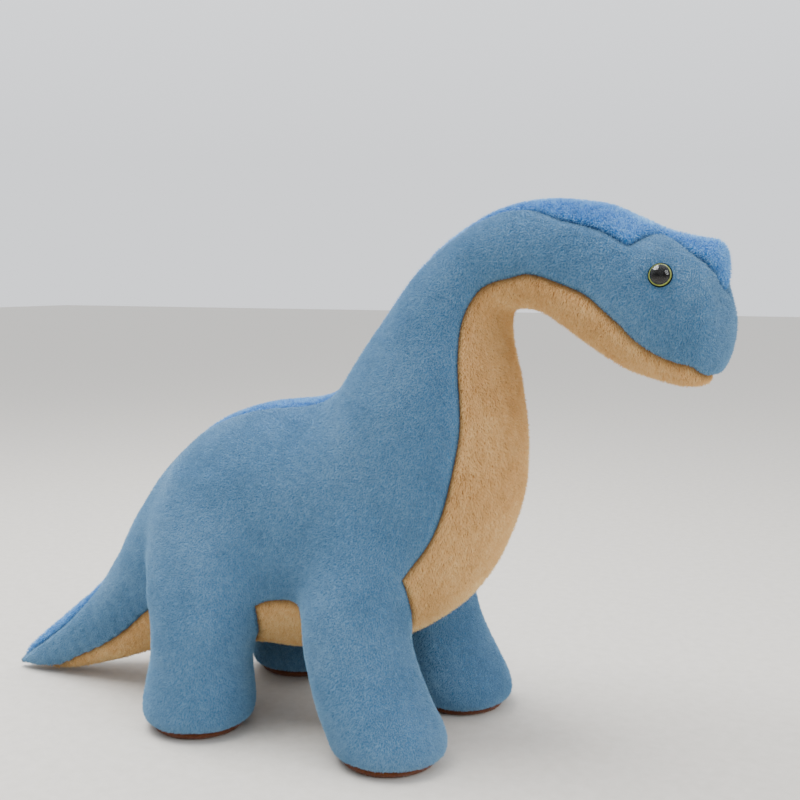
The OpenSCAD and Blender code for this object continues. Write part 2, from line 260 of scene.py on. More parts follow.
def surface_of(field):
    """Points and triangles where a field on the grid crosses zero."""
    grid = openvdb.FloatGrid(float(BAND))
    grid.copyFromArray((field / VOXEL).astype(np.float32))
    points, quads = grid.convertToQuads(0.0)
    points = points.astype(float) * VOXEL + GRID_LOW
    quads = quads.astype(int)
    d0 = np.linalg.norm(points[quads[:, 0]] - points[quads[:, 2]], axis=1)
    d1 = np.linalg.norm(points[quads[:, 1]] - points[quads[:, 3]], axis=1)
    q = np.where((d0 < d1)[:, None], quads, np.roll(quads, 1, axis=1))
    triangles = np.concatenate([q[:, [0, 1, 2]], q[:, [0, 2, 3]]])
    volume = np.einsum("ij,ij->i", points[triangles[:, 0]],
                       np.cross(points[triangles[:, 1]], points[triangles[:, 2]])).sum()
    return points, triangles if volume > 0 else triangles[:, ::-1]


def sample(field, points):
    """A field's value at points between the grid's corners."""
    g = np.clip((points - GRID_LOW) / VOXEL, 0, GRID_N - 1.001)
    i = np.floor(g).astype(int)
    f = g - i
    out = 0
    for dx in (0, 1):
        for dy in (0, 1):
            for dz in (0, 1):
                w = (abs(1 - dx - f[:, 0]) * abs(1 - dy - f[:, 1]) * abs(1 - dz - f[:, 2]))
                out = out + w * field[i[:, 0] + dx, i[:, 1] + dy, i[:, 2] + dz]
    return out


spine_shape = spine_tube()
d_spine = distance_to(spine_shape)
d_legs = None
for side in (-1, 1):
    for rows, track in ((FRONT_LEG, FRONT_TRACK), (HIND_LEG, HIND_TRACK)):
        d = distance_to(leg_tube(rows, track, side))
        d_legs = d if d_legs is None else np.minimum(d_legs, d)
verts, tris = surface_of(soft_min(d_spine, d_legs, LEG_BLEND))


# ---------------------------------------------------------------- what lies where
def along_spine(points):
    """The rib number at each point, and its place in that rib's plane: across, up."""
    tree = BVHTree.FromPolygons([tuple(p) for p in spine_shape[0]],
                                [tuple(q) for q in spine_shape[1]])
    face = np.array([tree.find_nearest(Vector(p))[2] for p in points])
    i = face // SPINE_SIDES
    before = np.einsum("ij,ij->i", points - MID[i], ONWARD[i])
    after = np.einsum("ij,ij->i", MID[i + 1] - points, ONWARD[i + 1])
    s = np.clip(before / np.where(np.abs(before + after) < 1e-9, 1e-9, before + after), 0, 1)
    t = SPINE_T[i] * (1 - s) + SPINE_T[i + 1] * s

    def at(a):
        return a[i] + (a[i + 1] - a[i]) * (s if a.ndim == 1 else s[:, None])

    rel = points - at(MID)
    up = np.einsum("ij,ij->i", rel, at(UP))
    return {"t": t, "across": rel[:, 1], "up": up, "half": at(HALF), "wide": at(SPINE[:, 4]),
            "tan_w": width_at(TAN_SEAM, t), "strip_w": width_at(STRIP_SEAM, t)}


def smooth_step(x, low, high):
    """From 0 at low to 1 at high, level at both ends."""
    s = np.clip((x - low) / (high - low), 0, 1)
    return s * s * (3 - 2 * s)


def on_side(points, bend):
    """How far points lie past the start of a bend."""
    start, end = (np.array(p) for p in bend)
    d = (end - start) / np.linalg.norm(end - start)
    return (points - start) @ d


def make_fields(p):
    """Signed distances whose zero lines are the seams and the joints."""
    s = along_spine(p)
    ds, dl = sample(d_spine, p), sample(d_legs, p)
    w, h = s["wide"], s["half"]
    turn = np.arctan2(np.abs(s["across"]) / w, -s["up"] / h)

    def seam_turn(half_width):
        y = np.clip(half_width / w, 0, 0.995)
        return np.arctan2(y, (1 - y**ROUNDNESS) ** (1 / ROUNDNESS))

    size = np.sqrt(w * h)
    tan_end = np.sqrt(np.clip((CHIN_END - s["t"]) / 0.9, 0, 1))
    strip_end = np.sqrt(np.clip((CREST_END - s["t"]) / 0.5, 0, 1))
    tan_turn = seam_turn(s["tan_w"]) * tan_end - 0.2 * np.clip(s["t"] - CHIN_END, 0, 3)
    strip_turn = seam_turn(s["strip_w"]) * strip_end - 0.2 * np.clip(s["t"] - CREST_END, 0, 3)
    tan = (turn - tan_turn) * size
    strip = (np.pi - turn - strip_turn) * size
    leg = (dl - ds) / 2
    on_leg = smooth_step(-leg, -0.002, 0.012)
    inner = (np.abs(p[:, 1]) - LEG_SEAM) * on_leg + tan * (1 - on_leg)
    inner = np.where(s["t"] > 15, tan, inner)
    knee = np.minimum(LEG_BEND[0] - p[:, 2], -leg + 0.004)
    head = np.minimum(on_side(p, HEAD_BEND), (s["t"] - 18) * 0.05)
    neck = on_side(p, NECK_BEND)
    tail = np.minimum(on_side(p, TAIL_BEND), (8.5 - s["t"]) * 0.05)
    tail = np.minimum(tail, leg + 0.03)
    axis = np.where(p[:, 0] > 0, FRONT_X, HIND_X)
    track = np.where(p[:, 0] > 0, FRONT_TRACK, HIND_TRACK)
    from_sole = np.hypot(p[:, 0] - axis, np.abs(p[:, 1]) - track) - HOLE_R
    under = np.where(p[:, 2] < HOLE_Z, from_sole, 0.05)
    return {"tan": inner, "strip": strip, "leg": leg, "neck": neck, "head": head, "tail": tail,
            "knee": knee, "mid": s["across"] * 1.0, "under": under, "t": s["t"],
            "across": s["across"]}


fields = make_fields(verts)
KEYS = sorted(fields)


def cut(verts, tris, data, key, where=None):
    """Splits triangles along the zero line of one field, with close corners moved onto it."""
    f = data[:, KEYS.index(key)]
    use = np.ones(len(tris), bool) if where is None else where(tris, data)
    edges = np.unique(np.sort(np.concatenate([tris[use][:, [0, 1]], tris[use][:, [1, 2]],
                                              tris[use][:, [2, 0]]]), axis=1), axis=0)
    fa, fb = f[edges[:, 0]], f[edges[:, 1]]
    crossing = edges[fa * fb < 0]
    fa, fb = f[crossing[:, 0]], f[crossing[:, 1]]
    s = fa / (fa - fb)
    best = np.full(len(verts), 9.0)
    other, share = np.zeros(len(verts), int), np.zeros(len(verts))
    for near, far, part in ((crossing[:, 0], crossing[:, 1], s),
                            (crossing[:, 1], crossing[:, 0], 1 - s)):
        order = np.argsort(-part, kind="stable")
        order = order[part[order] < 0.24]
        n = near[order]
        better = part[order] < best[n]
        n, o = n[better], order[better]
        best[n], other[n], share[n] = part[o], far[o], part[o]
    move = np.nonzero(best < 1)[0]
    verts, data = verts.copy(), data.copy()
    k = share[move][:, None]
    new_v = verts[move] * (1 - k) + verts[other[move]] * k
    new_d = data[move] * (1 - k) + data[other[move]] * k
    verts[move], data[move] = new_v, new_d
    data[move, KEYS.index(key)] = 0.0
    f = data[:, KEYS.index(key)]

    sign = np.sign(np.where(np.abs(f) < 1e-9, 0, f)).astype(int)
    ts = sign[tris]
    split = use & (ts.min(1) < 0) & (ts.max(1) > 0)
    keep = tris[~split]
    todo, sg = tris[split], ts[split]
    pairs = np.concatenate([todo[:, [0, 1]], todo[:, [1, 2]], todo[:, [2, 0]]])
    e = np.unique(np.sort(pairs[sign[pairs[:, 0]] * sign[pairs[:, 1]] < 0], axis=1), axis=0)
    a, b = e[:, 0], e[:, 1]
    s = (f[a] / (f[a] - f[b]))[:, None]
    made_v, made_d = verts[a] * (1 - s) + verts[b] * s, data[a] * (1 - s) + data[b] * s
    made_d[:, KEYS.index(key)] = 0.0
    code = e[:, 0] * len(verts) + e[:, 1]
    base = len(verts)

    def made(x, y):
        c = np.minimum(x, y) * base + np.maximum(x, y)
        return base + np.searchsorted(code, c)

    out = [keep]
    verts, data = np.concatenate([verts, made_v]), np.concatenate([data, made_d])
    # one corner on the line
    zero = (sg == 0).any(1)
    t = todo[zero]
    k = np.argmax(sg[zero] == 0, axis=1)
    r = np.arange(len(t))
    a, b, c = t[r, k], t[r, (k + 1) % 3], t[r, (k + 2) % 3]
    m = made(b, c)
    out += [np.stack([a, b, m], 1), np.stack([a, m, c], 1)]
    # one corner alone on its side
    t, s3 = todo[~zero], sg[~zero]
    lone = np.argmax(s3 * s3.sum(1)[:, None] < 0, axis=1)
    r = np.arange(len(t))
    a, b, c = t[r, lone], t[r, (lone + 1) % 3], t[r, (lone + 2) % 3]
    m, n = made(a, b), made(a, c)
    out.append(np.stack([a, m, n], 1))
    short = (np.linalg.norm(verts[m] - verts[c], axis=1)
             < np.linalg.norm(verts[b] - verts[n], axis=1))
    out += [np.stack([m, b, c], 1)[short], np.stack([m, c, n], 1)[short],
            np.stack([m, b, n], 1)[~short], np.stack([b, c, n], 1)[~short]]
    tris = np.concatenate(out)
    good = (tris[:, 0] != tris[:, 1]) & (tris[:, 1] != tris[:, 2]) & (tris[:, 0] != tris[:, 2])
    return verts, tris[good], data


def mean_of(tris, data, key):
    """A field's mean over each triangle's corners."""
    return data[:, KEYS.index(key)][tris].mean(1)


data = np.stack([fields[k] for k in KEYS], 1)
for key, where in (
    ("under", None), ("knee", None), ("tail", None), ("neck", None), ("head", None),
    ("strip", lambda t, d: mean_of(t, d, "knee") < 0),
    ("tan", None),
    ("leg", lambda t, d: (mean_of(t, d, "tan") < 0) & (mean_of(t, d, "knee") < 0)
     & (mean_of(t, d, "neck") < 0) & (mean_of(t, d, "tail") < 0)),
    ("mid", lambda t, d: (mean_of(t, d, "tan") > 0) & (mean_of(t, d, "strip") > 0)
     & ((mean_of(t, d, "head") > 0) | (mean_of(t, d, "tail") > 0))),
):
    verts, tris, data = cut(verts, tris, data, key, where)

tris = tris[mean_of(tris, data, "under") > 0]
m = {k: mean_of(tris, data, k) for k in KEYS}
centre = verts[tris].mean(1)
sides = np.where(centre[:, 1] > 0, "left", "right")
tail_sides = np.where(m["across"] > 0, "left", "right")
ends = np.where(centre[:, 0] > 0, "front", "hind")
part = np.full(len(tris), "", dtype="<U32")
low = m["knee"] > 0
region = np.where(m["head"] > 0, "head", np.where(m["neck"] > 0, "neck",
                  np.where(m["tail"] > 0, "tail", "torso")))
region = np.where(low, "leg", region)
strip_here = (m["strip"] < 0) & ~low
tan_here = (m["tan"] < 0) & ~strip_here
for name, base in (("head", ("crest", "chin_panel", "head_side_")),
                   ("neck", ("neck_back_strip", "throat_panel", "neck_side_")),
                   ("tail", ("tail_back_strip", "tail_underside", "tail_side_"))):
    here = region == name
    which = tail_sides if name == "tail" else sides
    part[here] = np.char.add(base[2], which[here])
    part[here & tan_here] = base[1]
    part[here & strip_here] = base[0]


def leg_names(kind, at):
    """Names such as leg_outer_front_left, for some of the triangles."""
    return np.char.add(np.char.add(np.char.add(kind + "_", ends[at]), "_"), sides[at])


here = region == "torso"
part[here] = np.char.add("side_panel_", sides[here])
part[here & tan_here] = "belly_panel"
thigh = here & tan_here & (m["leg"] < 0)
part[thigh] = leg_names("inner_thigh", thigh)
part[here & strip_here] = "back_strip"
inside = low & (m["tan"] < 0)
part[low] = leg_names("leg_outer", low)
part[inside] = leg_names("leg_inner", inside)


# ---------------------------------------------------------------- seams, stuffing and folds
# Panels of one cut of cloth, which meet at a joint with no seam.
FAMILY = (("side_left", ("side_panel_left", "neck_side_left", "head_side_left",
                         "tail_side_left", "leg_outer_front_left", "leg_outer_hind_left")),
          ("side_right", ("side_panel_right", "neck_side_right", "head_side_right",
                          "tail_side_right", "leg_outer_front_right", "leg_outer_hind_right")),
          ("strip", ("back_strip", "neck_back_strip", "crest", "tail_back_strip")),
          ("tan", ("belly_panel", "throat_panel", "chin_panel", "tail_underside")),
          ("inner_front_right", ("inner_thigh_front_right", "leg_inner_front_right")),
          ("inner_front_left", ("inner_thigh_front_left", "leg_inner_front_left")),
          ("inner_hind_right", ("inner_thigh_hind_right", "leg_inner_hind_right")),
          ("inner_hind_left", ("inner_thigh_hind_left", "leg_inner_hind_left")))
SIDE_RIGHT, TAN, INNER = 1, 3, 4      # places in FAMILY; from INNER on, all are inner legs
FAMILY_OF = {n: k for k, (_, names) in enumerate(FAMILY) for n in names}
family = np.array([FAMILY_OF[n] for n in part])


def edges_of(tris):
    """Each edge once, with the first and last triangle on it, and how many it has."""
    e = np.sort(np.concatenate([tris[:, [0, 1]], tris[:, [1, 2]], tris[:, [2, 0]]]), axis=1)
    owner = np.tile(np.arange(len(tris)), 3)
    order = np.lexsort((owner, e[:, 1], e[:, 0]))
    e, owner = e[order], owner[order]
    first = np.ones(len(e), bool)
    first[1:] = (e[1:] != e[:-1]).any(1)
    at = np.nonzero(first)[0]
    count = np.diff(np.append(at, len(e)))
    return e[at], owner[at], owner[at + count - 1], count


edge, tri_a, tri_b, count = edges_of(tris)
fam_a, fam_b = family[tri_a], family[tri_b]
real_seam = (fam_a != fam_b) & (count == 2)
inner_leg = ((fam_a >= INNER) | (fam_b >= INNER)) & (fam_a != TAN) & (fam_b != TAN)
hidden_seam = real_seam & (inner_leg | (np.maximum(fam_a, fam_b) == SIDE_RIGHT))


def distance_from(lines, points, reach=0.2):
    """How far points are from the nearest of some edges, up to a reach."""
    share = (np.arange(4) / 4)[None, :, None]
    on = (verts[lines[:, 0]][:, None] * (1 - share) + verts[lines[:, 1]][:, None] * share)
    on = on.reshape(-1, 3)
    tree = KDTree(len(on))
    for k, p in enumerate(on):
        tree.insert(p, k)
    tree.balance()
    return np.minimum([tree.find(p)[2] for p in points], reach)


def noise_at(points, size, offset=(0, 0, 0)):
    o = Vector(offset)
    return np.array([noise.noise(Vector(p) / size + o) for p in points])


def normals_of(verts, tris):
    face = np.cross(verts[tris[:, 1]] - verts[tris[:, 0]], verts[tris[:, 2]] - verts[tris[:, 0]])
    out = np.zeros_like(verts)
    for k in range(3):
        np.add.at(out, tris[:, k], face)
    return out / np.maximum(np.linalg.norm(out, axis=1), 1e-12)[:, None]


value = {k: data[:, i] for i, k in enumerate(KEYS)}
to_seam = distance_from(edge[real_seam & ~hidden_seam], verts)
to_hidden = distance_from(edge[hidden_seam], verts)
to_sole = distance_from(edge[count == 1], verts)
normal = normals_of(verts, tris)

# Folds where the stuffed form is pulled in: start, end, depth, width (mm).
FOLDS = (
    ((-80, -104, 136), (-66, -70, 100), 8, 9),
    ((-96, -122, 152), (-84, -90, 118), 5, 10),
    ((-205, -104, 118), (-208, -70, 84), 8, 10),
    ((22, -122, 158), (14, -90, 120), 8, 10),
    ((16, -108, 128), (28, -74, 92), 6, 9),
    ((150, -112, 190), (172, -78, 150), 3, 12),
    ((196, -58, 150), (176, -78, 110), 3, 10),
)
rise = np.zeros(len(verts))
for start, end, depth, width in FOLDS:
    for side in (1, -1):
        a = np.array(start) * MM * (1, side, 1)
        b = np.array(end) * MM * (1, side, 1)
        s = np.clip(((verts - a) @ (b - a)) / ((b - a) @ (b - a)), -0.1, 1.1)
        off = np.linalg.norm(verts - a - s[:, None] * (b - a), axis=1)
        ease = np.clip(1 - np.abs(s - 0.5) * 1.6, 0.1, 1)
        rise -= depth * MM * ease * np.exp(-((off / (width * MM)) ** 2))
# Gathers along the tan seam under the tail, and fine ones at the other seams.
tail_part = smooth_step(-value["t"], -7.6, -5.5) * smooth_step(value["t"], 1.0, 2.2)
ripple = np.sin(value["t"] * 2 * np.pi * 2.4 + 2.2 * noise_at(verts, 0.05))
near_tan = np.exp(-np.abs(value["tan"]) / 0.035) * (value["tan"] > -0.01)
rise += 0.0013 * ripple * tail_part * near_tan
pucker = noise_at(verts, 0.011, (3, 1, 7))
rise += 0.0007 * pucker * np.exp(-to_seam / 0.010)
# Stuffing lumps, then the dip of each seam and the swell between two seams.
rise += 0.0020 * noise_at(verts, 0.085, (5, 2, 9)) + 0.0009 * noise_at(verts, 0.034, (1, 8, 4))
rise -= 0.0030 * np.exp(-((to_seam / 0.0042) ** 2)) + 0.0022 * np.exp(-to_seam / 0.016)
rise -= 0.0006 * np.exp(-((to_hidden / 0.004) ** 2))
rise -= 0.0014 * np.exp(-((to_sole / 0.0045) ** 2))
# The head's strip is padded, and thickest at its blunt front end.
swell = np.sqrt(np.clip(-value["strip"] / 0.018, 0, 1))
rise += smooth_step(value["t"], 19.0, 21.0) * 0.0022 * swell
front = smooth_step(value["t"], 23.6, 25.9) * (1 - smooth_step(value["t"], 26.35, 27.0))
blunt = np.array([0.1, 0.0, 1.0]) * (0.0050 * front * swell)[:, None]
# The pile stands on the fabric, so the fabric lies a little inside the form.
rise -= 0.0020
# The plush is drawn in around each eye.
for side in (1, -1):
    off = np.linalg.norm(verts - EYE * (1, side, 1), axis=1)
    rise -= 0.0022 * np.exp(-((off / 0.017) ** 2))
verts = verts + normal * rise[:, None] + blunt
normal = normals_of(verts, tris)


# ---------------------------------------------------------------- materials
def colour(text):
    c = [int(text[i:i + 2], 16) / 255 for i in (1, 3, 5)]
    return [x / 12.92 if x <= 0.04045 else ((x + 0.055) / 1.055) ** 2.4 for x in c] + [1.0]


class Nodes:
    """A material's nodes, added one at a time and joined by socket."""

    def __init__(self, tree):
        self.tree = tree

    def add(self, kind, settings=None, **inputs):
        n = self.tree.nodes.new(kind)
        for k, v in (settings or {}).items():
            setattr(n, k, v)
        for k, v in inputs.items():
            self.put(n, k.replace("_", " "), v)
        return n

    def put(self, n, key, v):
        socket = n.inputs[int(key[1:])] if key[1:].isdigit() else n.inputs[key]
        if isinstance(v, bpy.types.NodeSocket):
            self.tree.links.new(v, socket)
        else:
            socket.default_value = v

    def maths(self, what, a, b):
        return self.add("ShaderNodeMath", {"operation": what}, i0=a, i1=b).outputs[0]

    def mix(self, factor, a, b):
        n = self.add("ShaderNodeMix", {"data_type": "RGBA"})
        self.put(n, "i0", factor)
        self.put(n, "i6", a)
        self.put(n, "i7", b)
        return n.outputs[2]

    def noise(self, at, scale, detail=3.0, rough=0.55):
        n = self.add("ShaderNodeTexNoise", None, Vector=at, Scale=scale, Detail=detail,
                     Roughness=rough)
        return n.outputs["Fac"]

    def spread(self, v, low, high, to_low=0.0, to_high=1.0):
        n = self.add("ShaderNodeMapRange", None, Value=v)
        for key, x in zip(("From Min", "From Max", "To Min", "To Max"),
                          (low, high, to_low, to_high)):
            n.inputs[key].default_value = x
        return n.outputs[0]


def new_material(name):
    m = bpy.data.materials.new(name)
    m.use_nodes = True
    m.node_tree.nodes.clear()
    n = Nodes(m.node_tree)
    out = n.add("ShaderNodeOutputMaterial")
    shader = n.add("ShaderNodeBsdfPrincipled")
    n.put(out, "Surface", shader.outputs[0])
    return m, n, shader


def plush_material(name, dark, base, light, strand, streak):
    """Pile fabric: soft patches where the pile lies differently, and fine fibre grain.
    The strands of the pile have the same patches, and are darker at their roots."""
    m, n, shader = new_material(name)
    rest = n.add("ShaderNodeAttribute", {"attribute_name": "rest"}).outputs["Vector"]
    at = n.add("ShaderNodeMapping", None, Vector=rest)
    at.inputs["Scale"].default_value = (1.0, 1.0, 1.0 / streak)
    patch = n.noise(rest, 14, 3, 0.5)
    tuft = n.noise(at.outputs[0], 150, 4, 0.6)
    fibre = n.spread(n.noise(at.outputs[0], 900, 3, 0.7), 0.28, 0.72)
    tone = n.maths("ADD", n.maths("MULTIPLY", patch, 0.45), n.maths("MULTIPLY", tuft, 0.55))
    if strand:
        hair = n.add("ShaderNodeHairInfo")
        along = n.maths("MULTIPLY", hair.outputs["Intercept"], 0.36)
        alone = n.maths("MULTIPLY", hair.outputs["Random"], 0.14)
        tone = n.maths("ADD", n.maths("ADD", tone, along), n.maths("SUBTRACT", alone, 0.18))
    else:
        tone = n.maths("ADD", tone, n.maths("MULTIPLY", n.maths("SUBTRACT", fibre, 0.5), 0.30))
    ramp = n.add("ShaderNodeValToRGB", None, Fac=tone)
    ramp.color_ramp.elements[0].position = 0.12
    ramp.color_ramp.elements[0].color = colour(dark)
    ramp.color_ramp.elements[1].position = 0.92
    ramp.color_ramp.elements[1].color = colour(light)
    middle = ramp.color_ramp.elements.new(0.52)
    middle.color = colour(base)
    # Darker along the seams and round the soles: partly the dark fabric backing where the pile
    # parts, partly painted shade in the seams' grooves and under the plush that overhangs the
    # soles.
    seam = n.add("ShaderNodeAttribute", {"attribute_name": "seam"}).outputs["Fac"]
    backing_and_shade = [0.30 * x for x in colour(dark)[:3]] + [1.0]
    n.put(shader, "Base Color", n.mix(n.maths("MULTIPLY", seam, 0.75), ramp.outputs[0], backing_and_shade))
    shader.inputs["Roughness"].default_value = 0.88
    shader.inputs["Specular IOR Level"].default_value = 0.18
    shader.inputs["Sheen Weight"].default_value = 0.35
    shader.inputs["Sheen Roughness"].default_value = 0.45
    if not strand:
        grain = n.maths("ADD", n.maths("MULTIPLY", tuft, 0.7), n.maths("MULTIPLY", fibre, 0.3))
        bump = n.add("ShaderNodeBump", None, Height=grain)
        bump.inputs["Strength"].default_value = 0.55
        bump.inputs["Distance"].default_value = 0.0012
        n.put(shader, "Normal", bump.outputs[0])
    return m


PLUSH = {
    "plush_blue": ("#346185", "#4f82aa", "#73a0c2"),
    "plush_dark_blue": ("#1f5290", "#3f82c1", "#74b2e4"),
    "plush_tan": ("#8a5e2e", "#b98b54", "#d9b27c"),
    "sole_pad": ("#4a2511", "#6d3a1d", "#8a5432"),
}
# The strands shade each other, so theirs are lighter.
STRANDS = {
    "plush_blue": ("#457192", "#6797ba", "#95bad4"),
    "plush_dark_blue": ("#1c4f92", "#4a92d2", "#a5dcfa"),
    "plush_tan": ("#a8793f", "#e4b877", "#fbe3a8"),
    "sole_pad": ("#5c3018", "#854a28", "#a5683f"),
}
STREAK = {"plush_tan": 2.6}
SURFACE = {k: plush_material(k, *v, False, STREAK.get(k, 1.0)) for k, v in PLUSH.items()}
STRAND = {k: plush_material(k + "_strand", *v, True, STREAK.get(k, 1.0))
          for k, v in STRANDS.items()}


def plain_material(name, low, high, scale, roughness, bump=0.2, distance=0.0003, **constants):
    """A material of two close colours in a fine grain, with its constants set on the shader."""
    m, n, shader = new_material(name)
    at = n.add("ShaderNodeTexCoord").outputs["Object"]
    grain = n.noise(at, scale, 4, 0.6)
    n.put(shader, "Base Color", n.mix(n.spread(grain, 0.3, 0.7), colour(low), colour(high)))
    if bump:
        b = n.add("ShaderNodeBump", None, Height=grain)
        b.inputs["Strength"].default_value = bump
        b.inputs["Distance"].default_value = distance
        n.put(shader, "Normal", b.outputs[0])
    shader.inputs["Roughness"].default_value = roughness
    for k, v in constants.items():
        shader.inputs[k.replace("_", " ")].default_value = v
    return m


STUFFING = plain_material("stuffing", "#dcd9d0", "#fbfaf6", 260, 0.95, 0.8, 0.002,
                          Sheen_Weight=0.3)
EYE_BLACK = plain_material("eye_black", "#030303", "#070606", 900, 0.20, 0.03,
                           Specular_IOR_Level=0.04)
EYE_WASHER = plain_material("eye_washer", "#dcdcd6", "#eeeeea", 500, 0.45, 0.1)


# ---------------------------------------------------------------- the pile
def pile(name, density, length, width, flow, mess, clump, seed, material):
    """Geometry nodes that grow short strands on the outside of one panel."""
    g = bpy.data.node_groups.new(name, "GeometryNodeTree")
    g.interface.new_socket("Panel", in_out="INPUT", socket_type="NodeSocketObject")
    g.interface.new_socket("Geometry", in_out="OUTPUT", socket_type="NodeSocketGeometry")
    n = Nodes(g)
    start, end = n.add("NodeGroupInput"), n.add("NodeGroupOutput")
    cloth = n.add("GeometryNodeObjectInfo", {"transform_space": "RELATIVE"},
                  Object=start.outputs[0])
    outer = n.add("GeometryNodeInputNamedAttribute", {"data_type": "BOOLEAN"}, Name="outer")
    points = n.add("GeometryNodeDistributePointsOnFaces", None, Mesh=cloth.outputs["Geometry"],
                   Selection=outer.outputs["Attribute"], Density=density, Seed=seed)

    def stored(what, kind="FLOAT_VECTOR"):
        a = n.add("GeometryNodeInputNamedAttribute", {"data_type": kind}, Name=what)
        return a.outputs["Attribute"]

    def vector(what, a, b):
        v = n.add("ShaderNodeVectorMath", {"operation": what}, i0=a)
        n.put(v, "Scale" if what == "SCALE" else "i1", b)
        return v.outputs[0]

    tufts = n.add("ShaderNodeTexNoise", None, Vector=stored("rest"), Scale=95.0, Detail=2.0)
    lean = vector("SUBTRACT", tufts.outputs["Color"], (0.5, 0.5, 0.5))
    alone = n.add("FunctionNodeRandomValue", {"data_type": "FLOAT_VECTOR"}, Seed=seed + 1)
    alone.inputs[0].default_value = (-1, -1, -1)
    alone.inputs[1].default_value = (1, 1, 1)
    way = vector("ADD", points.outputs["Normal"], vector("SCALE", stored("flow"), flow))
    way = vector("ADD", way, vector("SCALE", lean, clump))
    way = vector("ADD", way, vector("SCALE", alone.outputs[0], mess))
    turn = n.add("FunctionNodeAlignRotationToVector", {"axis": "Z"}, Vector=way)
    spin = n.add("FunctionNodeRandomValue", {"data_type": "FLOAT"}, Seed=seed + 2)
    spin.inputs[2].default_value = 0.0
    spin.inputs[3].default_value = 2 * math.pi
    about = n.add("FunctionNodeAxisAngleToRotation", None, Angle=spin.outputs[1])
    turned = n.add("FunctionNodeRotateRotation", {"rotation_space": "LOCAL"},
                   Rotation=turn.outputs[0], Rotate_By=about.outputs[0])
    size = n.add("FunctionNodeRandomValue", {"data_type": "FLOAT"}, Seed=seed + 3)
    size.inputs[2].default_value = 0.65 * length
    size.inputs[3].default_value = 1.15 * length
    grow = n.add("ShaderNodeMath", {"operation": "MULTIPLY"}, i0=size.outputs[1],
                 i1=stored("pile", "FLOAT"))
    strand = n.add("GeometryNodeCurveQuadraticBezier", None, Resolution=3, Start=(0, 0, 0),
                   Middle=(0, 0, 0.55), End=(0.38, 0, 0.92))
    placed = n.add("GeometryNodeInstanceOnPoints", None, Points=points.outputs["Points"],
                   Instance=strand.outputs[0], Rotation=turned.outputs[0], Scale=grow.outputs[0])
    real = n.add("GeometryNodeRealizeInstances", None, Geometry=placed.outputs[0])
    along = n.add("GeometryNodeSplineParameter")
    taper = n.add("ShaderNodeMath", {"operation": "MULTIPLY_ADD"}, i0=along.outputs["Factor"],
                  i1=-0.7 * width, i2=width)
    thin = n.add("GeometryNodeSetCurveRadius", None, Curve=real.outputs[0],
                 Radius=taper.outputs[0])
    painted = n.add("GeometryNodeSetMaterial", None, Geometry=thin.outputs[0],
                    Material=material)
    n.put(end, "i0", painted.outputs[0])
    return g


# Strands per square metre, their length and width in metres, how far they lie down, how
# far each strays, how far they lean in tufts, and the seed of their random draws.
PILE_ROWS = {
    "plush_blue": ("pile_blue", 800000, 0.0033, 0.00032, 0.60, 0.34, 0.22, 11),
    "plush_dark_blue": ("pile_dark_blue", 650000, 0.0048, 0.00035, 0.55, 0.45, 1.2, 21),
    "plush_tan": ("pile_tan", 650000, 0.0056, 0.00035, 1.40, 0.32, 0.55, 31),
    "sole_pad": ("pile_sole", 500000, 0.0014, 0.00028, 0.2, 0.6, 0.8, 41),
}
PILE = {k: pile(*row, STRAND[k]) for k, row in PILE_ROWS.items()}


# ---------------------------------------------------------------- pieces
def attribute(mesh, name, kind, domain, values):
    """Stores values on a mesh for the materials and the pile to read."""
    a = mesh.attributes.new(name, kind, domain)
    key = "vector" if kind == "FLOAT_VECTOR" else "value"
    a.data.foreach_set(key, np.ascontiguousarray(values).ravel())


def make_object(name, points, faces, normals=None):
    mesh = bpy.data.meshes.new(name)
    mesh.from_pydata([tuple(p) for p in points], [], [tuple(int(i) for i in f) for f in faces])
    mesh.polygons.foreach_set("use_smooth", [True] * len(mesh.polygons))
    if normals is not None:
        mesh.normals_split_custom_set_from_vertices([tuple(x) for x in normals])
    obj = bpy.data.objects.new(name + "_look", mesh)
    bpy.context.scene.collection.objects.link(obj)
    return obj


def move_with(obj, body):
    """Rides on the torso; any other piece only has its transform baked into its mesh."""
    if body == "torso":
        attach(obj, "torso")
    elif body == "neck":
        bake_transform(obj)
    elif body == "head":
        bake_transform(obj)
    elif body == "tail":
        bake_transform(obj)
    else:
        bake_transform(obj)


def grow_pile(obj, fabric):
    """The strands are a curves object of their own, grown on the panel wherever it is."""
    strands = bpy.data.objects.new(obj.name + "_pile", bpy.data.hair_curves.new(obj.name))
    bpy.context.scene.collection.objects.link(strands)
    grown = strands.modifiers.new("pile", "NODES")
    grown.node_group = PILE[fabric]
    grown[PILE[fabric].interface.items_tree["Panel"].identifier] = obj


NODE_BODY = {n: b for b, names in frame["record"]["behaviour"]["bodies"].items() for n in names}


def taken(mine):
    """The points that some triangles use, and the triangles with those points' new numbers."""
    used = np.unique(mine)
    index = np.full(len(verts), -1)
    index[used] = np.arange(len(used))
    return used, index[mine]


def rim_of(triangles):
    """Both ends of each rim edge, in the direction that its own triangle has it."""
    e, first, _, count = edges_of(triangles)
    rim, owner = e[count == 1], triangles[first[count == 1]]
    forward = np.zeros(len(rim), bool)
    for k in range(3):
        forward |= (owner[:, k] == rim[:, 0]) & (owner[:, (k + 1) % 3] == rim[:, 1])
    return (np.where(forward, rim[:, 0], rim[:, 1]),
            np.where(forward, rim[:, 1], rim[:, 0]))


def twice(x):
    """The outside's values again for the inside."""
    return np.concatenate([x, x])


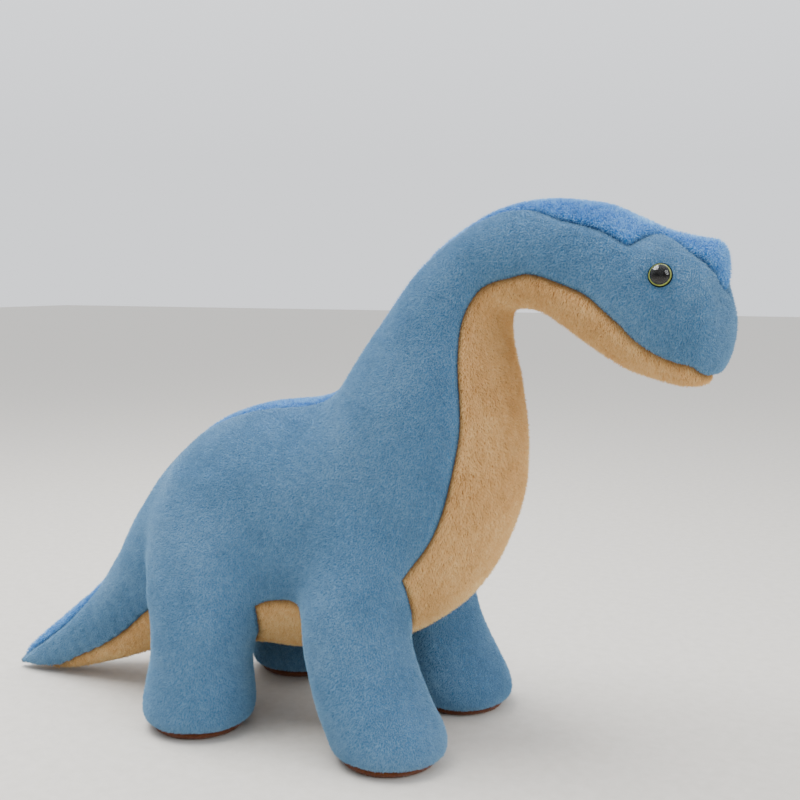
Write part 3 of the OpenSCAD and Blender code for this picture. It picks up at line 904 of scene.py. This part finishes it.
def panel(name):
    """A closed panel of plush from the surface's triangles of that name."""
    used, out = taken(tris[part == name])
    n = len(used)
    v, nn = verts[used], normal[used]
    a, b = rim_of(out)
    walls = np.concatenate([np.stack([b, a, a + n], 1), np.stack([b, a + n, b + n], 1)])
    faces = np.concatenate([out, out[:, ::-1] + n, walls])
    points = np.concatenate([v, v - nn * PANEL_T])
    cut_of = FAMILY[FAMILY_OF[name]][0]
    fabric = {"strip": "plush_dark_blue", "tan": "plush_tan"}.get(cut_of, "plush_blue")
    obj = make_object(name, points, faces, np.concatenate([nn, -nn]))
    mesh = obj.data
    down = np.array([-0.35, 0.0, -1.0]) if fabric != "plush_tan" else np.array([0.0, 0.0, -1.0])
    flow = down - nn * (nn @ down)[:, None]
    # The colour darkens along the seams that show and at the rim over each sole: partly the
    # backing where the pile parts, partly painted shade in the seam's groove and where the plush
    # curls in over the sole.
    seam = np.exp(-((to_seam[used] / 0.0026) ** 2))
    seam = np.maximum(seam, 0.8 * np.exp(-((to_sole[used] / 0.003) ** 2)))
    length = 1 - 0.55 * np.exp(-((to_seam[used] / 0.0040) ** 2))
    off = np.minimum(*[np.linalg.norm(v - EYE * (1, s, 1), axis=1) for s in (1, -1)])
    length *= smooth_step(off, 0.010, 0.019) * 0.9 + 0.1
    attribute(mesh, "rest", "FLOAT_VECTOR", "POINT", points)
    attribute(mesh, "flow", "FLOAT_VECTOR", "POINT", twice(flow))
    attribute(mesh, "seam", "FLOAT", "POINT", twice(seam))
    attribute(mesh, "pile", "FLOAT", "POINT", twice(length))
    attribute(mesh, "outer", "BOOLEAN", "FACE", np.arange(len(faces)) < len(out))
    mesh.materials.append(SURFACE[fabric])
    grow_pile(obj, fabric)
    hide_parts(name)
    move_with(obj, NODE_BODY[name])


for name in sorted(set(part)):
    panel(name)


def loops_of(rim):
    """Closed loops of directed edges, as lists of points."""
    after = {int(a): int(b) for a, b in rim}
    loops = []
    while after:
        here = next(iter(after))
        loop = []
        while here in after:
            loop.append(here)
            here = after.pop(here)
        loops.append(loop)
    return loops


def filling(name, body):
    """The stuffing of one part: its surface drawn in, and closed at its ends."""
    thick = value["t"][tris].mean(1) > 1.6      # the tail's tip is plush only
    around = np.isin(part, [n for n in FAMILY_OF if NODE_BODY[n] == body])
    used, out = taken(tris[around & thick])
    v = verts[used] - normal[used] * 0.0042
    v -= normal[used] * (0.0012 * (1 + noise_at(verts[used], 0.013, (2, 2, 6))))[:, None]
    faces, extra = [out], []
    for loop in loops_of(np.stack(rim_of(out), 1)):
        c = len(v) + len(extra)
        extra.append(v[loop].mean(0))
        nxt = loop[1:] + loop[:1]
        faces.append(np.array([(q, p, c) for p, q in zip(loop, nxt)]))
    obj = make_object(name, np.concatenate([v, np.array(extra)]), np.concatenate(faces))
    obj.data.materials.append(STUFFING)
    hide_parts(name)
    move_with(obj, body)


for name, body in NODE_BODY.items():
    if "filling" in name:
        filling(name, body)


# ---------------------------------------------------------------- soles and eyes
def turned(name, profile, segments, place, wobble=None):
    """A closed form turned about its own Z through (radius, height) points."""
    a = np.linspace(0, 2 * np.pi, segments, endpoint=False)
    rings = []
    for r, z in profile[1:-1]:
        ring = np.stack([r * np.cos(a), r * np.sin(a), z + 0 * a], 1)
        if wobble is not None:
            ring[:, :2] *= (1 + wobble * noise_at(ring * (1, 1, 0.2), 0.018))[:, None]
        rings.append(ring)
    points, quads, ends = tube(np.array(rings))
    points[-2] = (0, 0, profile[0][1])
    points[-1] = (0, 0, profile[-1][1])
    world = np.array([tuple(place @ Vector(p)) for p in points])
    faces = [tuple(q) for q in quads] + [tuple(t) for t in ends]
    if place.determinant() < 0:
        faces = [f[::-1] for f in faces]
    return make_object(name, world, faces)


SOLE = [(0, 0), (0.020, 0), (0.040, 0), (0.0488, 0), (0.0515, 0.0005), (0.0543, 0.0018),
        (0.0561, 0.0038), (0.0569, 0.0060), (0.0567, 0.0080), (0.0556, 0.0094),
        (0.049, 0.0100), (0.020, 0.0100), (0, 0.0100)]
for end, x, track in (("front", FRONT_X, FRONT_TRACK), ("hind", HIND_X, HIND_TRACK)):
    for side, y in (("right", -track), ("left", track)):
        name = f"sole_{end}_{side}"
        obj = turned(name, SOLE, 96, Matrix.Translation((x, y, 0)), 0.004)
        mesh = obj.data
        p = np.array([v.co for v in mesh.vertices])
        attribute(mesh, "rest", "FLOAT_VECTOR", "POINT", p)
        attribute(mesh, "flow", "FLOAT_VECTOR", "POINT", p * 0 + (0, 0, -0.3))
        # The top of the sole is darkened: partly its seam to the leg, partly painted shade under
        # the plush that overhangs it.
        attribute(mesh, "seam", "FLOAT", "POINT", smooth_step(p[:, 2], 0.0070, 0.010) * 0.7)
        attribute(mesh, "pile", "FLOAT", "POINT", smooth_step(p[:, 2], 0.0, 0.002))
        middle = np.array([f.center.z for f in mesh.polygons])
        attribute(mesh, "outer", "BOOLEAN", "FACE", (middle > 0.0006) & (middle < 0.0092))
        mesh.materials.append(SURFACE["sole_pad"])
        grow_pile(obj, "sole_pad")
        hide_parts(name)
        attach(obj, f"leg_{end}_{side}")


def ring(name, loop, segments, place):
    """A closed ring turned about its own Z from a loop of (radius, height) points."""
    a = np.linspace(0, 2 * np.pi, segments, endpoint=False)
    n = len(loop)
    points = [tuple(place @ Vector((r * math.cos(t), r * math.sin(t), z)))
              for t in a for r, z in loop]
    faces = []
    for i in range(segments):
        for j in range(n):
            k, m = (i + 1) % segments, (j + 1) % n
            faces.append((i * n + j, k * n + j, k * n + m, i * n + m))
    if place.determinant() < 0:
        faces = [f[::-1] for f in faces]
    return make_object(name, points, faces)


def mm(*pairs):
    """Points given in millimetres, in metres."""
    return [(r * MM, z * MM) for r, z in pairs]


STEM = mm((0, -20), (1.7, -20), (2.3, -19.4))
for k in range(11):
    STEM += mm((2.45, -18.8 + 1.5 * k), (2.45, -18.2 + 1.5 * k), (2.15, -18.0 + 1.5 * k),
               (2.15, -17.5 + 1.5 * k))
EYE_BACK = STEM + mm((2.5, -1.6), (2.7, -0.3), (11.8, 0.0), (12.6, 0.3), (13.0, 1.0), (13.0, 2.0),
                     (12.85, 2.55), (12.5, 2.75), (11.4, 2.7), (11.05, 2.6), (11.0, 2.2),
                     (9.2, 2.2), (9.15, 2.7), (8.7, 3.4), (7.4, 4.5), (5.2, 5.5), (2.8, 6.0),
                     (0, 6.2))
DOME_FOOT, DOME_RISE = 2.7, 8.8
DOME_R = (12.4**2 + DOME_RISE**2) / (2 * DOME_RISE)
# The clear dome is moulded onto the pupil and the ring, so it reaches just inside them.
LENS = mm((0, 6.0), (2.8, 5.8), (5.1, 5.3), (7.2, 4.3), (8.5, 3.2), (8.9, 2.6),
          (11.9, 2.6), (12.3, 2.72)) + [
    (math.sin(a) * DOME_R * MM,
     (DOME_FOOT + DOME_RISE - DOME_R + DOME_R * math.cos(a)) * MM)
    for a in np.linspace(math.asin(12.38 / DOME_R), 0.0, 22)]
IRIS = mm((9.25, 2.22), (10.95, 2.22), (10.95, 2.6), (10.6, 2.74), (9.6, 2.72), (9.25, 2.6))
WASHER = mm((2.6, -5.5), (10.4, -5.5), (11.0, -5.2), (11.0, -3.9), (10.4, -3.5), (6.2, -3.5),
            (5.8, -4.1), (4.4, -4.1), (4.0, -3.5), (2.6, -3.5))


def eye_materials():
    """The clear dome and the yellow-green ring."""
    lens, n, shader = new_material("eye_lens")
    at = n.add("ShaderNodeTexCoord").outputs["Object"]
    faint = n.spread(n.noise(at, 400, 3), 0.3, 0.7)
    n.put(shader, "Base Color", n.mix(faint, colour("#f4f7f8"), colour("#ffffff")))
    n.put(shader, "Roughness", n.spread(faint, 0, 1, 0.015, 0.035))
    shader.inputs["Transmission Weight"].default_value = 1.0
    shader.inputs["IOR"].default_value = 1.45
    iris, n, shader = new_material("eye_iris")
    at = n.add("ShaderNodeTexCoord").outputs["Object"]
    fleck = n.spread(n.noise(at, 1500, 4, 0.7), 0.3, 0.7)
    n.put(shader, "Base Color", n.mix(fleck, colour("#8a9a24"), colour("#e4ee6a")))
    shader.inputs["Metallic"].default_value = 0.35
    shader.inputs["Roughness"].default_value = 0.35
    return lens, iris


EYE_LENS, EYE_IRIS = eye_materials()
for side, sign in (("right", 1), ("left", -1)):
    place = (Matrix.Scale(sign, 4, (0, 1, 0))
             @ Matrix.Translation(Vector(EYE)) @ Matrix.Rotation(math.radians(7), 4, "Z")
             @ Matrix.Rotation(math.radians(80), 4, "X"))
    for name, obj, material in (
        ("eye_back", turned(f"eye_back_{side}", EYE_BACK, 64, place), EYE_BLACK),
        ("eye_lens", turned(f"eye_lens_{side}", LENS, 64, place), EYE_LENS),
        ("eye_iris", ring(f"eye_iris_{side}", IRIS, 64, place), EYE_IRIS),
        ("eye_washer", ring(f"eye_washer_{side}", WASHER, 48, place), EYE_WASHER),
    ):
        obj.data.materials.append(material)
        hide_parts(f"{name}_{side}")
        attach(obj, "head")


# ---------------------------------------------------------------- floor, light, camera
def floor_material():
    m, n, shader = new_material("floor")
    at = n.add("ShaderNodeTexCoord").outputs["Object"]
    fine = n.spread(n.noise(at, 60, 4, 0.6), 0.3, 0.7)
    n.put(shader, "Base Color", n.mix(fine, colour("#c6c2ba"), colour("#cfcbc4")))
    shader.inputs["Roughness"].default_value = 0.9
    return m


bpy.ops.mesh.primitive_plane_add(size=30, location=(0, 0, 0))
floor = bpy.context.object
floor.name = "floor"
floor.data.materials.append(floor_material())


def area_light(name, place, aim, size, power, tint):
    light = bpy.data.lights.new(name, "AREA")
    light.shape, light.size, light.size_y = "RECTANGLE", size[0], size[1]
    light.energy, light.color = power, tint
    obj = bpy.data.objects.new(name, light)
    bpy.context.scene.collection.objects.link(obj)
    obj.location = place
    obj.rotation_euler = (Vector(aim) - Vector(place)).to_track_quat("-Z", "Y").to_euler()


area_light("key", (-0.8, -0.2, 2.5), (0, 0, 0.3), (1.8, 1.4), 115, (1.0, 0.99, 0.97))
area_light("window", (2.4, -0.5, 1.5), (0.1, 0, 0.35), (1.4, 1.6), 38, (0.97, 0.985, 1.0))
area_light("fill", (1.2, -2.4, 1.1), (0.1, 0, 0.3), (1.8, 1.2), 2, (1.0, 1.0, 1.0))


def room_light():
    """A soft room that is brightest behind the toy and overhead."""
    world = bpy.data.worlds.new("world")
    bpy.context.scene.world = world
    world.use_nodes = True
    n = Nodes(world.node_tree)
    way = n.add("ShaderNodeTexCoord").outputs["Generated"]
    behind = n.add("ShaderNodeVectorMath", {"operation": "DOT_PRODUCT"}, i0=way,
                   i1=(-0.46, 0.88, 0.12)).outputs["Value"]
    over = n.add("ShaderNodeSeparateXYZ", None, Vector=way).outputs["Z"]
    power = n.maths("ADD", n.spread(behind, -0.5, 0.9, 0.30, 1.30),
                    n.spread(over, 0.1, 1.0, 0.0, 1.1))
    background = world.node_tree.nodes["Background"]
    background.inputs["Color"].default_value = (0.94, 0.96, 1.0, 1)
    n.put(background, "Strength", power)


room_light()

camera = bpy.data.cameras.new("camera")
camera.lens, camera.sensor_width = 50, 36
camera.clip_start, camera.clip_end = 0.05, 60
eye = bpy.data.objects.new("camera", camera)
bpy.context.scene.collection.objects.link(eye)
eye.location = (0.732, -1.224, 0.573)
eye.rotation_euler = (math.radians(83.6), 0, math.radians(27.5))
bpy.context.scene.camera = eye
